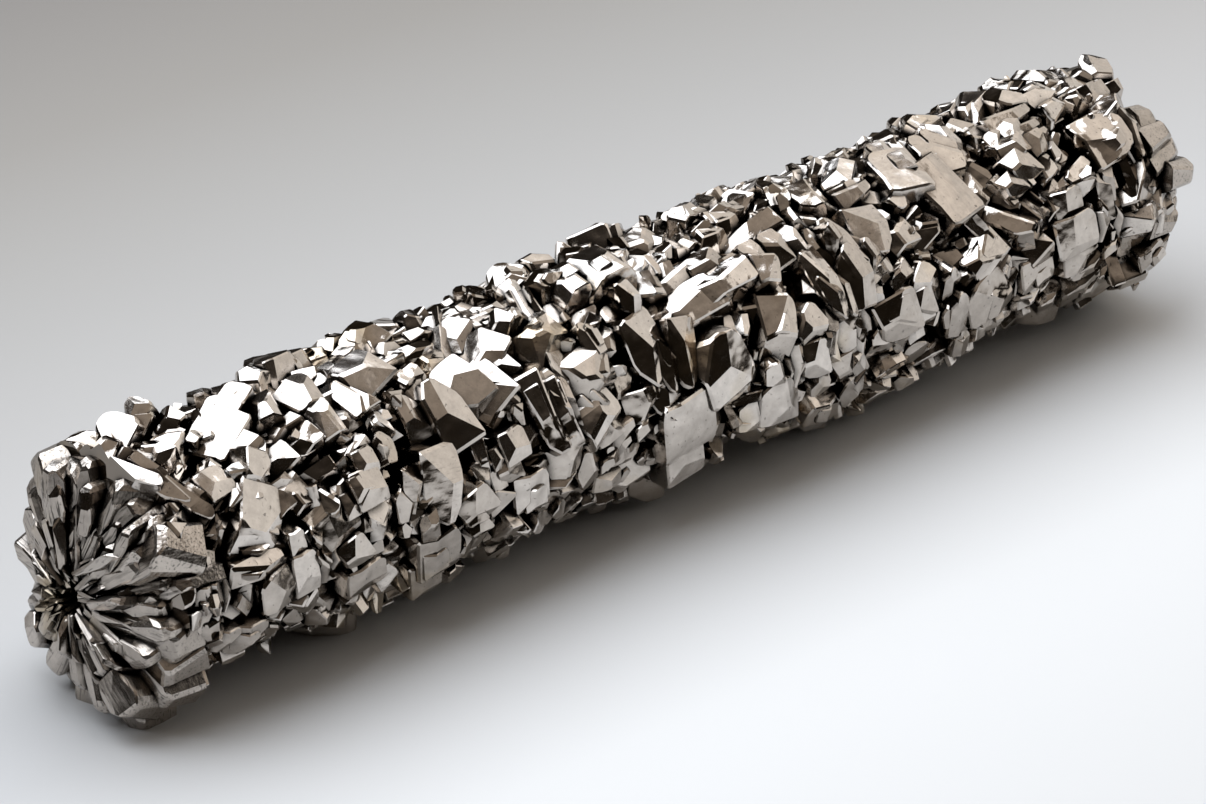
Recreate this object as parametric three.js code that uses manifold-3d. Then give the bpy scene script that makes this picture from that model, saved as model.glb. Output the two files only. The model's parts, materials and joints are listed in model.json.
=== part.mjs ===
// A titanium crystal bar: metal grown from vapour on a hot wire until it became a rod of
// interlocked crystals. It lies along X on the plane Z = 0, broken off at both ends.
// Everything grew together, so the bar is one solid: a round core, the crystals that stand on
// it and the radial blades that the two broken ends show.
import * as THREE from "three";
import { mergeVertices } from "three/addons/utils/BufferGeometryUtils.js";
import Module from "manifold-3d";

// Driving dimensions, in millimetres and degrees.
const barLength = 140;
const barRadius = 12.5; // to the middle of the crystals' outer faces
const restHeight = 13; // of the bar's axis above the plane that it lies on
const coreRadius = 10.8;
const coreSides = 14;
const crystalHeight = 7; // from a crystal's root inside the bar to its outer face
const fillCount = 166; // places for the crystals between those of the list below
const grainCount = 56; // groups of parallel crystals among them
const bladeCount = 20; // at each broken end
const bladeDepth = 8; // along the bar
const breakDepth = 1.2; // the side crystals stop this far short of the near end
const faceTurn = 0.75; // how far a turned crystal looks its own way, from 0 to 1
const edgeShare = 0.3; // how far a leant crystal is sunk, as a share of its raised edge
const clearShare = 0.42; // how far fill crystals keep from a listed one, as a share of its size
const smallestDetail = 0.06; // shorter edges are merged away

// A crystal is a block cut by planes. Its own z is the way it grew, its block reaches from -1
// to 1 on each axis, and a cut [x, y, z, reach] removes what lies beyond reach along (x, y, z).
const habits = {
  block: [[1, 0, 1, 1.24], [1, 1, 0, 1.24]],
  plate: [[1, 0, 1, 1.3], [-1, 1, 1, 1.5], [1, -1, 0, 1.14]],
  roof: [[1, 0, 1, 0.9], [-1, 0, 1, 1.04]],
  tip: [[1, 0, 1, 0.94], [-1, 0, 1, 0.86], [0, 1, 1, 0.9]],
  wedge: [[1, 0, 1.2, 0.8], [-1, 1, 0, 1.1]],
  corner: [[1, 1, 1, 1.04], [-1, -1, 1, 1.3], [1, -1, 0, 1.18]],
  slat: [[1, 0, 1, 1.2], [0, 1, 1, 1.26]],
  leaf: [[1, 0.9, 0, 0.92], [1, -0.9, 0, 0.86], [-1, 0, 1.2, 1.3]],
};
const habitOrder = ["block", "roof", "plate", "tip", "wedge", "slat", "corner", "leaf", "plate"];

// The ways that a crystal's outer face can look instead of straight out from the bar.
const looks = {
  up: [-0.5, -0.25, 0.83],
  front: [0.1, -0.9, 0.42],
  far: [0.72, -0.62, 0.3],
  down: [0, 0, -1],
};

// The crystals that stand out on the real bar: the place along it, the angle round it (0 faces
// -Y, 90 faces up), the habit, the width round the bar and the length along it, the turn about
// the way it grew, where its outer face looks and how far that stands above the bar's surface.
const crystalList = [
  [0, -90, "plate", 7, 9, 12, "down", 0.8],
  [-42, -86, "plate", 6, 7, 40, "down", 0.7],
  [45, -93, "plate", 6, 7.5, -25, "down", 0.5],
  [-65, 62, "plate", 3.2, 4.8, 80, "out", 0.3],
  [-63, 63, "slat", 2.2, 5.4, 85, "out", 0.4],
  [-62.5, 49, "leaf", 5.2, 2.8, 180, "out", 0.2],
  [-61.5, 106, "corner", 4.2, 4.4, 20, "up", 0.5],
  [-58.5, 74, "tip", 5.4, 5.2, 20, "front", -0.5],
  [-58.5, 53, "plate", 3.4, 3.6, 10, "out", 0.3],
  [-66, 19, "wedge", 4.2, 4.6, 60, "up", 0.3],
  [-62.7, 20, "leaf", 4.4, 3, 170, "up", 0],
  [-63, 0, "slat", 3, 4.8, 90, "out", 0],
  [-54.5, 79, "plate", 4.2, 5.4, 25, "up", 0.2],
  [-54, 66, "plate", 3.4, 4.2, 20, "up", 0.3],
  [-52, 53, "block", 3, 4.4, 5, "up", 0.6],
  [-55, 52, "block", 2.6, 4.2, 0, "out", 0.3],
  [-48.7, 57, "block", 3.2, 4.8, 8, "up", 0.6],
  [-49.5, 42, "slat", 1.8, 6, 2, "up", 0.5],
  [-44.7, 42, "slat", 2, 5.4, 4, "up", 0.6],
  [-52.5, 39, "block", 3.2, 4.6, 10, "up", 0.3],
  [-49, 32, "leaf", 5, 3, 185, "up", 0.4],
  [-44, 26, "plate", 4, 4, 5, "out", 0.7],
  [-56, 27, "wedge", 8, 4.6, 150, "front", -0.4],
  [-57.5, 11, "slat", 2.6, 6.4, 2, "out", 0.2],
  [-55.5, -2, "plate", 4.2, 4.4, 8, "out", 0.5],
  [-52.5, 1, "plate", 4.6, 3.2, 4, "out", 0.4],
  [-48, 15, "plate", 3.4, 5, 20, "out", 0],
  [-44.5, -17, "plate", 3.4, 5, 10, "out", 0.3],
  [-58.5, -23, "plate", 4.4, 7, 5, "out", 0],
  [-42.5, 53, "tip", 3.8, 4, 10, "front", 0.4],
  [-44.5, 78, "plate", 4, 4.2, 12, "out", 0.5],
  [-44.5, 62, "roof", 3.8, 4.8, 88, "out", 0.3],
  [-40.5, 66, "leaf", 5, 3.2, 5, "out", 0.5],
  [-37.5, 76, "block", 4.4, 4.8, 15, "out", 0.5],
  [-48.5, 80, "roof", 3.4, 4.2, 70, "out", 0.3],
  [-52, 93, "plate", 3.2, 4.2, 30, "up", 0],
  [-42, 112, "corner", 4, 4.6, 10, "out", 0.4],
  [-33, 101, "block", 4.2, 4.6, 18, "up", 0.8],
  [-33.5, 66, "tip", 4, 4.4, 15, "out", 0.4],
  [-32, 43, "leaf", 6.6, 4.2, 8, "out", 0.8],
  [-36, 52, "leaf", 4.2, 3, 170, "front", 0.2],
  [-29.5, 72, "slat", 2.8, 5.4, 60, "up", 0.4],
  [-29, 56, "block", 5.2, 4.6, 10, "up", 1],
  [-26.5, 51, "block", 5, 4.2, 8, "up", 0.9],
  [-24.5, 65, "block", 4, 5.4, 30, "up", 0.8],
  [-24, 32, "leaf", 4.2, 3, 175, "out", 0.3],
  [-21.5, 27, "slat", 3.2, 7.8, 100, "out", 0.6],
  [-17.5, 37, "wedge", 6.2, 2.8, 170, "front", 0],
  [-24.5, -6, "plate", 4.2, 4.4, 6, "out", 0.4],
  [-20, 2, "plate", 4.4, 4.6, 20, "out", 0.5],
  [-20.5, -11, "slat", 2.2, 5.2, 4, "out", 0.3],
  [-31.5, -2, "plate", 4, 4.4, 35, "out", 0.6],
  [-35.5, 14, "leaf", 6.8, 4.4, 175, "out", 0.7],
  [-38, 18, "block", 5.4, 3.6, 160, "up", 0.5],
  [-36, -18, "plate", 5, 4.4, 12, "out", 0.5],
  [-19.5, 78, "block", 3.2, 4.4, 5, "out", 0.2],
  [-17.5, 60, "tip", 4.4, 5, 20, "out", 0.3],
  [-24.5, 85, "plate", 3.4, 4.4, 30, "up", 0.3],
  [-16, 84, "slat", 2.2, 7, 75, "up", 0.1],
  [-6.5, 82, "roof", 5.2, 5, 88, "out", 0.7],
  [-13, 112, "corner", 4, 4.6, 15, "up", 0.5],
  [-1, 80, "leaf", 5.2, 2.4, 180, "up", 0.3],
  [-2.5, 72, "slat", 2.8, 5.2, 80, "up", 0.2],
  [2, 87, "tip", 4.6, 4.8, 15, "front", 0.2],
  [4.5, 64, "block", 3.6, 4.2, 10, "out", 0.4],
  [-1.5, 50, "block", 4, 9, 2, "up", 1.2],
  [-7, 34, "leaf", 7, 4.2, 185, "front", 0.8],
  [-3.5, 28, "leaf", 6.4, 3.4, 170, "out", 0.7],
  [2.5, 30, "corner", 4, 4.8, 30, "up", 0.8],
  [0.7, 16, "corner", 6, 6, 20, "out", 0.8],
  [-14.5, 33, "tip", 5.4, 5.4, 15, "front", 0.4],
  [-15, 17, "roof", 4.6, 5, 30, "front", 0.4],
  [-9, 12, "plate", 3.2, 4.6, 8, "out", 0.2],
  [-5.5, 11, "plate", 4, 5, 12, "out", 0.3],
  [-4, -6, "plate", 6, 6.2, 8, "out", 0.7],
  [-16, -13, "leaf", 4.8, 2.6, 170, "out", 0.2],
  [12, 90, "block", 2.8, 5, 6, "out", 0.3],
  [12, 73, "roof", 3, 6.4, 2, "up", 0.5],
  [9.8, 56, "block", 4.4, 2.6, 2, "out", 0.5],
  [12.6, 57, "block", 4.4, 2.8, 2, "out", 0.6],
  [17.5, 49, "leaf", 5.2, 2.4, 5, "out", 0.3],
  [20, 47, "leaf", 5.8, 3.4, 8, "out", 0.4],
  [20, 31, "leaf", 6.2, 4, 0, "out", 0.6],
  [16, 33, "leaf", 7.2, 2.6, 190, "out", 0.4],
  [25, 49, "leaf", 5.2, 4.4, 175, "out", 0.3],
  [23.5, 31, "block", 3.8, 4.4, 15, "out", 0.2],
  [28.5, 46, "block", 4, 4, 8, "up", 0.4],
  [31.5, 43, "corner", 4, 4.4, 8, "up", 0.5],
  [33.5, 73, "plate", 4.8, 6, 75, "out", 0.6],
  [36.5, 54, "plate", 4.8, 7.2, 100, "out", 0.5],
  [28, 90, "plate", 3.4, 5.2, 40, "up", 0.3],
  [22, 80, "slat", 4.2, 4.6, 81, "out", 0.2],
  [15, 98, "plate", 3.4, 4.2, 20, "up", 0.3],
  [12.5, 18, "corner", 3.8, 4.2, 25, "out", 0.5],
  [15, 12, "roof", 2.8, 5, 70, "out", 0.4],
  [12.5, 2, "plate", 4.4, 3.8, 8, "out", 0.7],
  [18, 8, "plate", 4, 4.2, 35, "out", 0.3],
  [8.3, 22, "wedge", 6.4, 3.6, 165, "out", 0.4],
  [8, -11, "leaf", 4.8, 4.8, 0, "out", 0.5],
  [25, 4, "plate", 4.8, 5, 15, "out", 0.5],
  [18.5, -12, "plate", 4.4, 4, 30, "out", 0.3],
  [19.5, -28, "leaf", 5, 3, 180, "out", 0.6],
  [15.5, -37, "leaf", 4.6, 4, 180, "out", 0.9],
  [29.5, 14, "plate", 3.6, 4.2, 35, "out", 0.4],
  [34, -8, "leaf", 5.8, 3.2, 10, "out", 0.4],
  [39.5, 76, "plate", 4.4, 5.2, 80, "out", 0.3],
  [42.5, 90, "leaf", 5.2, 3.4, 0, "out", 0.3],
  [47.5, 62, "block", 3.6, 4, 5, "out", 0.2],
  [50, 77, "slat", 2.6, 7, 5, "out", 0.4],
  [47, 50, "plate", 4, 3.8, 15, "out", 0.3],
  [41.5, 36, "slat", 2.8, 8.4, 122, "up", 0.5],
  [45, 36, "slat", 2.6, 6.4, 118, "up", 0.4],
  [49, 33, "corner", 3.6, 4, 10, "up", 0.2],
  [39, 26, "slat", 2.4, 6.4, 124, "out", 0.3],
  [45, 17, "leaf", 5, 3.4, 10, "up", 0.4],
  [38, 16, "roof", 4.4, 5, 30, "out", 0.4],
  [51.5, 8, "plate", 4.6, 6, 5, "out", 0.5],
  [52.5, -6, "plate", 3.8, 5.2, 12, "out", 0.3],
  [56.5, 24, "slat", 3, 7, 93, "out", 0.2],
  [60.5, 24, "slat", 2.2, 7, 93, "out", 0.3],
  [58.5, 47, "leaf", 7, 7.2, 185, "out", 1.2],
  [62.5, 45, "slat", 2, 6.2, 95, "out", 1],
  [64, 20, "plate", 5.6, 7, 60, "far", 0.8],
  [64.5, 38, "plate", 5, 6, 30, "far", 0.8],
  [63.5, -22, "plate", 4.6, 4.6, 30, "far", 0.6],
  [60.5, 100, "slat", 4, 6, 88, "out", 1],
  [57, 114, "corner", 4.6, 5, 20, "out", 1],
  [66.5, 90, "leaf", 6, 3.6, -30, "out", 1.2],
  [55.5, 83, "block", 3.6, 4.2, 15, "out", 0.4],
  [49.5, 100, "roof", 4.6, 5.2, 30, "up", 0.5],
  [43, 105, "corner", 4.4, 4.6, 10, "out", 0.5],
  [64.5, 60, "corner", 4, 4.4, 20, "far", 0.6],
  [37.5, -4, "plate", 4.6, 5.2, 20, "out", 0.5],
];

const wasm = await Module();
wasm.setup();

const radians = THREE.MathUtils.degToRad;
const goldenAngle = 180 * (3 - Math.sqrt(5));

// Numbers from 0 to 1 that come out the same each time.
function seededNumbers(seed) {
  let state = seed;
  return () => {
    state = (state * 48271) % 2147483647;
    return state / 2147483647;
  };
}

function solidOf(geometry) {
  const bare = new THREE.BufferGeometry().setAttribute("position", geometry.getAttribute("position"));
  if (geometry.index) bare.setIndex(geometry.index);
  const merged = mergeVertices(bare, 1e-4);
  return new wasm.Manifold(
    new wasm.Mesh({
      numProp: 3,
      vertProperties: merged.getAttribute("position").array,
      triVerts: new Uint32Array(merged.index.array),
    }),
  );
}

function geometryOf(solid) {
  const mesh = solid.getMesh();
  const geometry = new THREE.BufferGeometry();
  geometry.setAttribute("position", new THREE.BufferAttribute(mesh.vertProperties, 3));
  geometry.setIndex(new THREE.BufferAttribute(mesh.triVerts, 1));
  geometry.computeVertexNormals();
  return geometry;
}

// A block with its cuts made, from -1 to 1 on each axis.
function cutBlock(cuts) {
  let solid = solidOf(new THREE.BoxGeometry(2, 2, 2));
  for (const [x, y, z, reach] of cuts) {
    const away = new THREE.Vector3(-x, -y, -z).normalize();
    solid = solid.trimByPlane(away.toArray(), -reach);
  }
  return solid;
}

// Straight out from the bar at an angle round it.
function outwards(angle) {
  return new THREE.Vector3(0, -Math.cos(radians(angle)), Math.sin(radians(angle)));
}

// The turn of a crystal that grew a given way: its x runs up round the bar and its y along it,
// until it is spun about its z.
function crystalTurn(grown, spin) {
  const along = new THREE.Vector3(-1, 0, 0).addScaledVector(grown, grown.x).normalize();
  const round = new THREE.Vector3().crossVectors(along, grown);
  const spun = new THREE.Matrix4().makeRotationZ(radians(spin));
  return new THREE.Matrix4().makeBasis(round, along, grown).multiply(spun);
}

// The bar swells and narrows a little along its length and round it, and is thicker at the far end.
function swell(station, angle) {
  const longWave = 0.35 * Math.sin(station / 9 + radians(angle));
  const shortWave = 0.3 * Math.sin(station / 5 - radians(2 * angle));
  const farEnd = 0.9 * Math.exp(-(((station - 59) / 16) ** 2));
  return longWave + shortWave + farEnd;
}

// Distance between two places, measured over the bar's round surface.
function apart([stationA, angleA], [stationB, angleB]) {
  const turn = ((((angleA - angleB) % 360) + 540) % 360) - 180;
  return Math.hypot(stationA - stationB, radians(turn) * barRadius);
}

// One crystal: a habit's block at its size, with its outer face at its place on the bar.
function crystal([station, angle], habit, [width, length], grown, spin, lift) {
  const out = outwards(angle);
  const raised = grown.clone().cross(out).length() * Math.hypot(width, length) * edgeShare;
  const middle = out
    .multiplyScalar(barRadius + swell(station, angle) + lift - raised)
    .addScaledVector(grown, -crystalHeight / 2);
  middle.x += station;
  middle.z += restHeight;
  const size = new THREE.Vector3(width, length, crystalHeight).divideScalar(2);
  const matrix = crystalTurn(grown, spin).setPosition(middle).scale(size);
  return shapes[habit].transform(matrix.elements);
}

function listedCrystals() {
  return crystalList.map(([station, angle, habit, width, length, spin, look, lift]) => {
    const grown = outwards(angle);
    if (look in looks) grown.lerp(new THREE.Vector3(...looks[look]), faceTurn).normalize();
    return crystal([station, angle], habit, [width, length], grown, spin, lift);
  });
}

// Groups of parallel crystals, spread evenly over the bar.
function grains() {
  const next = seededNumbers(1873);
  return Array.from({ length: grainCount }, (_, i) => {
    const station = ((i + 0.5) / grainCount - 0.5) * barLength + (next() - 0.5) * 8;
    const angle = i * goldenAngle + (next() - 0.5) * 40;
    const lean = new THREE.Vector3(next() - 0.5, next() - 0.5, next() - 0.5);
    const width = 5.6 + 2.2 * next();
    return {
      at: [station, angle],
      habit: habitOrder[Math.floor(next() * habitOrder.length)],
      size: [width, width * (1 + 0.4 * next())],
      grown: outwards(angle).addScaledVector(lean, 0.7).normalize(),
      spin: 180 * next(),
    };
  });
}

// The crystals that fill the bar's surface between the listed ones.
function fillCrystals() {
  const next = seededNumbers(5417);
  const groups = grains();
  const made = [];
  for (let i = 0; i < fillCount; i++) {
    const station = ((i + 0.5) / fillCount - 0.5) * barLength;
    const at = [station + (next() - 0.5) * 3, i * goldenAngle + (next() - 0.5) * 16];
    const share = 0.75 + 0.4 * next();
    const lift = 1.5 * next() - 0.9;
    const covered = crystalList.some(
      ([stationB, angleB, , wide, long]) => apart([stationB, angleB], at) < (wide + long) * clearShare,
    );
    if (covered) continue;
    const grain = groups.reduce((near, other) => (apart(other.at, at) < apart(near.at, at) ? other : near));
    const [width, length] = grain.size;
    made.push(crystal(at, grain.habit, [width * share, length * share], grain.grown, grain.spin, lift));
  }
  return made;
}

// A blade of a broken end: a long wedge from the bar's middle to its rim, with a ridged back.
function blade(side, turnAngle, width, reach, stand, slope) {
  const out = outwards(turnAngle);
  const away = new THREE.Vector3(side, 0, 0);
  const across = new THREE.Vector3().crossVectors(away, out);
  const leant = away.applyAxisAngle(across, radians(slope));
  const length = out.applyAxisAngle(across, radians(slope));
  const middle = length
    .clone()
    .multiplyScalar(reach / 2)
    .addScaledVector(leant, stand - bladeDepth / 2);
  middle.x += (side * barLength) / 2;
  middle.z += restHeight;
  const size = new THREE.Vector3(reach / 2, width / 2, bladeDepth / 2);
  const matrix = new THREE.Matrix4().makeBasis(length, across, leant).setPosition(middle).scale(size);
  return shapes.blade.transform(matrix.elements);
}

function brokenEnd(side, seed) {
  const next = seededNumbers(seed);
  const made = [];
  for (let i = 0; i < bladeCount; i++) {
    const turnAngle = ((i + 0.6 * next()) / bladeCount) * 360;
    const width = 3.8 + 2.2 * next();
    const reach = barRadius * (0.92 + 0.18 * next());
    const stand = -1.4 * next();
    const slope = 6 + 12 * next();
    made.push(blade(side, turnAngle, width, reach, stand, slope));
  }
  return made;
}

function core() {
  const half = barLength / 2;
  const coreShort = 3.4; // the blades stand on its two ends
  const profile = [
    [0, -half + coreShort],
    [coreRadius, -half + coreShort],
    [coreRadius, half - coreShort],
    [0, half - coreShort],
  ].map(([radius, along]) => new THREE.Vector2(radius, along));
  const geometry = new THREE.LatheGeometry(profile, coreSides);
  geometry.rotateZ(-Math.PI / 2);
  geometry.translate(0, 0, restHeight);
  return solidOf(geometry);
}

const shapes = Object.fromEntries(Object.entries(habits).map(([name, cuts]) => [name, cutBlock(cuts)]));
// A blade narrows to the bar's middle and has a ridge along its outer face.
shapes.blade = cutBlock([[-1, 2, 0, 0.98], [-1, -2, 0, 0.98], [0, 1, 1.6, 1.06], [0, -1, 1.4, 1.2]]);

const sides = wasm.Manifold.union([...listedCrystals(), ...fillCrystals()])
  .trimByPlane([1, 0, 0], breakDepth - barLength / 2)
  .trimByPlane([-1, 0, 0], -barLength / 2);
const grown = wasm.Manifold.union([core(), sides, ...brokenEnd(-1, 311), ...brokenEnd(1, 947)])
  .trimByPlane([0, 0, 1], 0)
  .simplify(smallestDetail);
// Pockets that crystals close off inside the bar are solid metal, so only the outer skin is kept.
const bar = grown.decompose().reduce((most, other) => (other.volume() > most.volume() ? other : most));

const titanium = new THREE.MeshStandardMaterial({ color: 0xc1bab1, roughness: 0.18, metalness: 1 });
const crystalBar = new THREE.Mesh(geometryOf(bar), titanium);
crystalBar.name = "crystal_bar";

const part = new THREE.Group();
part.add(crystalBar);

export default part;
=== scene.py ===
import json
import math

import bmesh
import bpy
import numpy as np
from mathutils import Matrix, Vector

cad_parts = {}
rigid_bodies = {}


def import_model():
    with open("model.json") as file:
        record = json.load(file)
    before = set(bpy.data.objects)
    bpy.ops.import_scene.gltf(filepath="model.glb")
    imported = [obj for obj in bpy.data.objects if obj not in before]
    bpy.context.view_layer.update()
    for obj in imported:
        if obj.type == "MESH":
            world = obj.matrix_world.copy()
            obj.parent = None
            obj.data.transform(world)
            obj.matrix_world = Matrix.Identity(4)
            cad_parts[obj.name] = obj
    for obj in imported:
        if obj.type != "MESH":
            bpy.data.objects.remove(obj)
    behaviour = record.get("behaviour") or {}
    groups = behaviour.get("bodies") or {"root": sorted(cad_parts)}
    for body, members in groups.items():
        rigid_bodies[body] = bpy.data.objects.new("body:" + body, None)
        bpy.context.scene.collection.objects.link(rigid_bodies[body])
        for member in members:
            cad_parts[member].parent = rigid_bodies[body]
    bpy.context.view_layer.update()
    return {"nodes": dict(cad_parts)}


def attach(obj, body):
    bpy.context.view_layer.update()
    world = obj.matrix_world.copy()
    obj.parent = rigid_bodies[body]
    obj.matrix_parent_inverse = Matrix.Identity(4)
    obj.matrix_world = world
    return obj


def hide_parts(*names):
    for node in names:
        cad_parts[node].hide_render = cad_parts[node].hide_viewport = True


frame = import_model()
print("frame loaded:", sorted(frame["nodes"]))

toMetres = Matrix.Scale(0.001, 4)  # everything below is in mm until it is placed

# the bar as a whole, in mm; it lies along X with its axis above the floor
bar = {
    "length": 140,
    "radius": 12.5,  # to the middle of the crystals' outer faces
    "axisHeight": 13,
    "coreRadius": 9,
    "coreSides": 24,
    "coreShort": 4,  # the core ends this far inside the broken ends
    "crystalHeight": 7,
    "faceTurn": 0.75,
    "edgeShare": 0.36,
    "goldenAngle": 180 * (3 - math.sqrt(5)),
    "smoothBelow": 16,  # edges flatter than this, in degrees, are shaded smooth
}

# a habit is a block from -1 to 1 with cuts (x, y, z, reach); z is the way the crystal grew
habits = {
    "block": [(1, 0, 1, 1.24), (1, 1, 0, 1.24)],
    "plate": [(1, 0, 1, 1.3), (-1, 1, 1, 1.5), (1, -1, 0, 1.14)],
    "roof": [(1, 0, 1, 0.9), (-1, 0, 1, 1.04)],
    "tip": [(1, 0, 1, 0.94), (-1, 0, 1, 0.86), (0, 1, 1, 0.9)],
    "wedge": [(1, 0, 1.2, 0.8), (-1, 1, 0, 1.1)],
    "corner": [(1, 1, 1, 1.04), (-1, -1, 1, 1.3), (1, -1, 0, 1.18)],
    "slat": [(1, 0, 1, 1.2), (0, 1, 1, 1.26)],
    "leaf": [(1, 0.9, 0, 0.92), (1, -0.9, 0, 0.86), (-1, 0, 1.2, 1.3)],
    "blade": [
        (-1, 2, 0, 0.98),
        (-1, -2, 0, 0.98),
        (0, 1, 1.6, 1.06),
        (0, -1, 1.4, 1.2),
        (1, 1.2, 0.2, 1.1),
        (1, -0.9, 0.3, 1.06),
        (1, 0.1, 0.8, 1.1),
    ],
}
habitOrder = ["block", "roof", "plate", "tip", "wedge", "slat", "corner", "leaf", "plate"]
# how a model is shaped from its block, in half widths
rounding = {
    "variants": 5,
    "variantMix": 97,  # picks the variant from the crystal's tint
    "start": (1.1, 1.1, 1),
    "drawIn": 0.08,  # the sides lean in by this much towards the top
    "corners": 2,  # corners knocked off the outline
    "cornerLean": 0.2,
    "cornerReach": (0.98, 1.25),
    "crowns": 3,  # faces that the top is broken into
    "crownTilt": (0.05, 0.44),  # and how much they lean
    "crownReach": (0.84, 0.97),
    "crownDrift": 0.4,
    "outline": 0.05,  # how deep the upright edges are rounded
    "top": 0.03,  # and the edges round the top
    "depth": (0.6, 1.4),  # the share of that depth at one edge
    "merge": 0.002,
    "seed": 2903,
}

# where a crystal's outer face can look instead of straight out
looks = {
    "up": (-0.5, -0.25, 0.83),
    "front": (0.1, -0.9, 0.42),
    "far": (0.72, -0.62, 0.3),
    "down": (0, 0, -1),
}

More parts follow.
